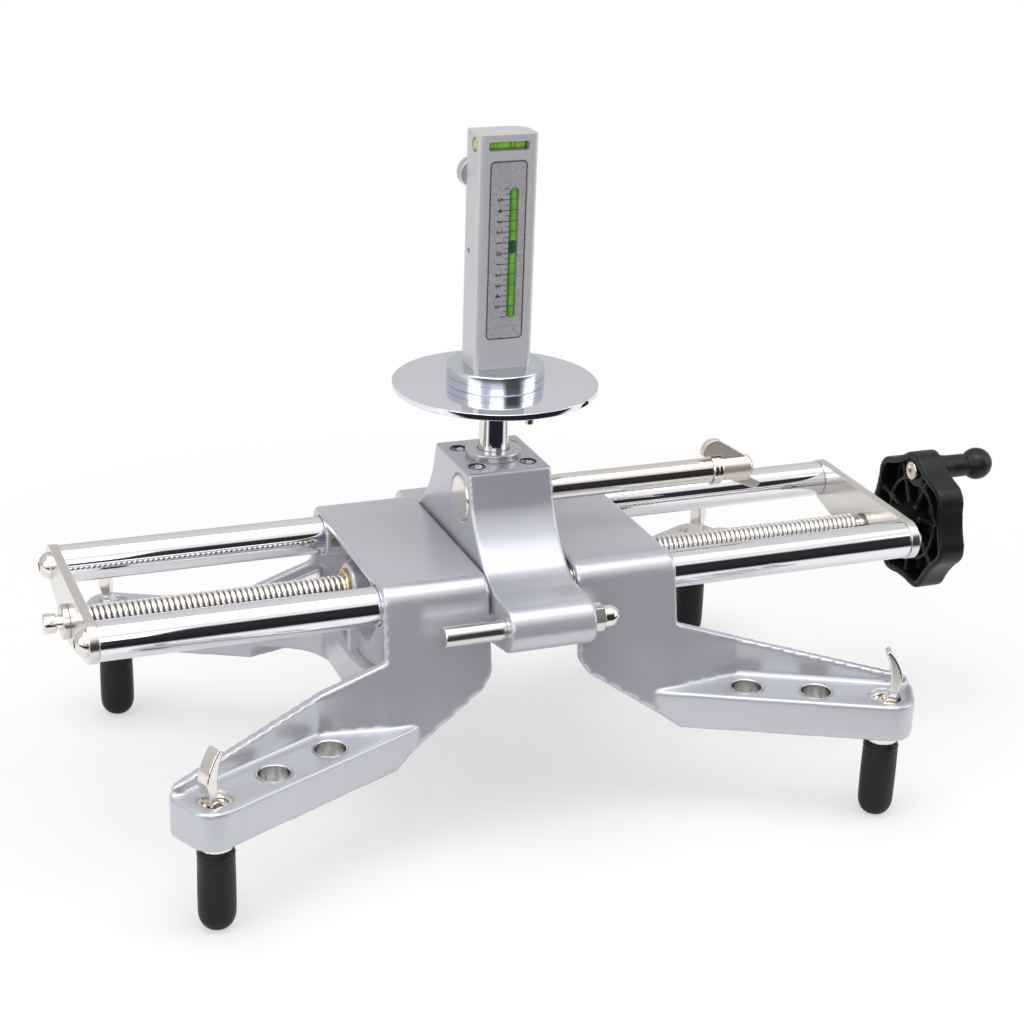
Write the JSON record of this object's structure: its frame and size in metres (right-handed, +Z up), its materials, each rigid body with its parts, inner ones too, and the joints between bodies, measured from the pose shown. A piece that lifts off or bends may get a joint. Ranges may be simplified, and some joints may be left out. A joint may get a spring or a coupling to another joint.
{
  "type": "camber caster gauge on a wheel clamp",
  "caption": "Magnetic camber and caster gauge with green vials, standing on the turning disc of a self-centring wheel clamp with screw-driven sliding jaws, claws and rubber fingers.",
  "frame": {"origin": "on the spindle's axis, in the plane that the four rubber finger tips stand on", "axes": "+X along the guide rods to the hand wheel, +Y to the back, +Z up through the gauge"},
  "size_m": [0.5594, 0.2708, 0.36],
  "materials": {
    "rod_chrome": "polished hard chrome",
    "plate_steel": "satin nickel plate",
    "nickel": "bright nickel plate",
    "stud_steel": "turned, fine lines round it",
    "zinc": "bluish zinc plate",
    "disc_chrome": "mirror polish",
    "cast_paint": "silver paint on a casting, satin",
    "gauge_aluminium": "blasted and anodised",
    "scale_sheet": "grained sheet, printed marks",
    "vial_liquid": "green liquid in a clear tube",
    "nut_brass": "turned brass",
    "bush_bronze": "bronze, oiled",
    "black_plastic": "moulded, satin black",
    "finger_rubber": "satin black rubber",
    "knob_metal": "knurled"
  },
  "bodies": {
    "frame": {"guide_rod_front": "rod_chrome", "guide_rod_rear": "rod_chrome", "end_plate_left": "plate_steel", "end_plate_right": "plate_steel", "rod_cap_screws_left": "nickel", "rod_cap_screws_right": "nickel", "screw_bush_left": "stud_steel", "screw_bush_right": "stud_steel", "head_casting": "cast_paint", "spindle_bushing": "stud_steel", "nose_stud_front": "stud_steel", "nose_stud_rear": "stud_steel", "acorn_nut_front": "nickel", "acorn_nut_rear": "nickel", "head_grub_screws": "stud_steel", "cotter_plug": "nickel"},
    "screw": {"lead_screw": "nickel", "screw_end_collar": "nickel", "hand_wheel": "black_plastic", "hand_wheel_nut": "stud_steel", "crank_screw": "nickel"},
    "crank": {"crank_handle": "black_plastic"},
    "lock": {"lock_rod": "nickel", "lock_washer": "nickel", "lock_wing_head": "nickel"},
    "spindle": {"spindle": "nickel", "target_disc": "disc_chrome", "disc_screw": "stud_steel", "disc_pin": "stud_steel"},
    "gauge": {"magnet_base": "zinc", "gauge_screw": "stud_steel", "gauge_body": "gauge_aluminium", "scale_plate": "scale_sheet", "caster_plate": "scale_sheet", "camber_vial": "vial_liquid", "cross_vial": "vial_liquid", "caster_vial": "vial_liquid"},
    "trim_knob": {"caster_knob": "knob_metal"},
    "jaw_left": {"jaw_left": "cast_paint", "rod_bushes_left": "bush_bronze", "screw_nut_left": "nut_brass", "claw_ring_left_front": "nickel", "claw_ring_left_rear": "nickel"},
    "jaw_right": {"jaw_right": "cast_paint", "rod_bushes_right": "bush_bronze", "screw_nut_right": "nut_brass", "claw_ring_right_front": "nickel", "claw_ring_right_rear": "nickel"},
    "claw_left_front": {"claw_left_front": "nickel", "finger_sleeve_left_front": "finger_rubber"},
    "claw_left_rear": {"claw_left_rear": "nickel", "finger_sleeve_left_rear": "finger_rubber"},
    "claw_right_front": {"claw_right_front": "nickel", "finger_sleeve_right_front": "finger_rubber"},
    "claw_right_rear": {"claw_right_rear": "nickel", "finger_sleeve_right_rear": "finger_rubber"}
  },
  "joints": [
    {"name": "jaw_right_slide", "type": "slide", "parent": "frame", "child": "jaw_right", "axis": [1, 0, 0], "range_m": [0, 0.1]},
    {"name": "jaw_left_slide", "type": "slide", "parent": "frame", "child": "jaw_left", "axis": [-1, 0, 0], "range_m": [0, 0.1001]},
    {"name": "screw_turn", "type": "hinge", "parent": "frame", "child": "screw", "pos_m": [0, 0, 0.1175], "axis": [1, 0, 0], "range_deg": [0, 12010]},
    {"name": "crank_handle_spin", "type": "hinge", "parent": "screw", "child": "crank", "pos_m": [0.28, 0, 0.1475], "axis": [1, 0, 0], "continuous": true},
    {"name": "lock_turn", "type": "hinge", "parent": "frame", "child": "lock", "pos_m": [0.08, -0.0142, 0.168], "axis": [1, 0, 0], "range_deg": [-180, 180]},
    {"name": "spindle_turn", "type": "hinge", "parent": "frame", "child": "spindle", "pos_m": [0, 0, 0.2], "axis": [0, 0, 1], "continuous": true},
    {"name": "gauge_lift", "type": "slide", "parent": "spindle", "child": "gauge", "axis": [0, 0, 1], "range_m": [0, 0.06]},
    {"name": "trim_knob_turn", "type": "hinge", "parent": "gauge", "child": "trim_knob", "pos_m": [-0.0104, 0.014, 0.3362], "axis": [0, 1, 0], "range_deg": [-270, 270]},
    {"name": "claw_left_front_turn", "type": "hinge", "parent": "jaw_left", "child": "claw_left_front", "pos_m": [-0.18419, -0.12057, 0.06], "axis": [0, 0, 1], "continuous": true},
    {"name": "claw_left_rear_turn", "type": "hinge", "parent": "jaw_left", "child": "claw_left_rear", "pos_m": [-0.18419, 0.12057, 0.06], "axis": [0, 0, 1], "continuous": true},
    {"name": "claw_right_front_turn", "type": "hinge", "parent": "jaw_right", "child": "claw_right_front", "pos_m": [0.18419, -0.12057, 0.06], "axis": [0, 0, 1], "continuous": true},
    {"name": "claw_right_rear_turn", "type": "hinge", "parent": "jaw_right", "child": "claw_right_rear", "pos_m": [0.18419, 0.12057, 0.06], "axis": [0, 0, 1], "continuous": true}
  ],
  "couplings": [
    {"joint": "jaw_left_slide", "follows": "jaw_right_slide", "ratio": 1},
    {"joint": "screw_turn", "follows": "jaw_right_slide", "rad_per_m": 2094.4}
  ]
}
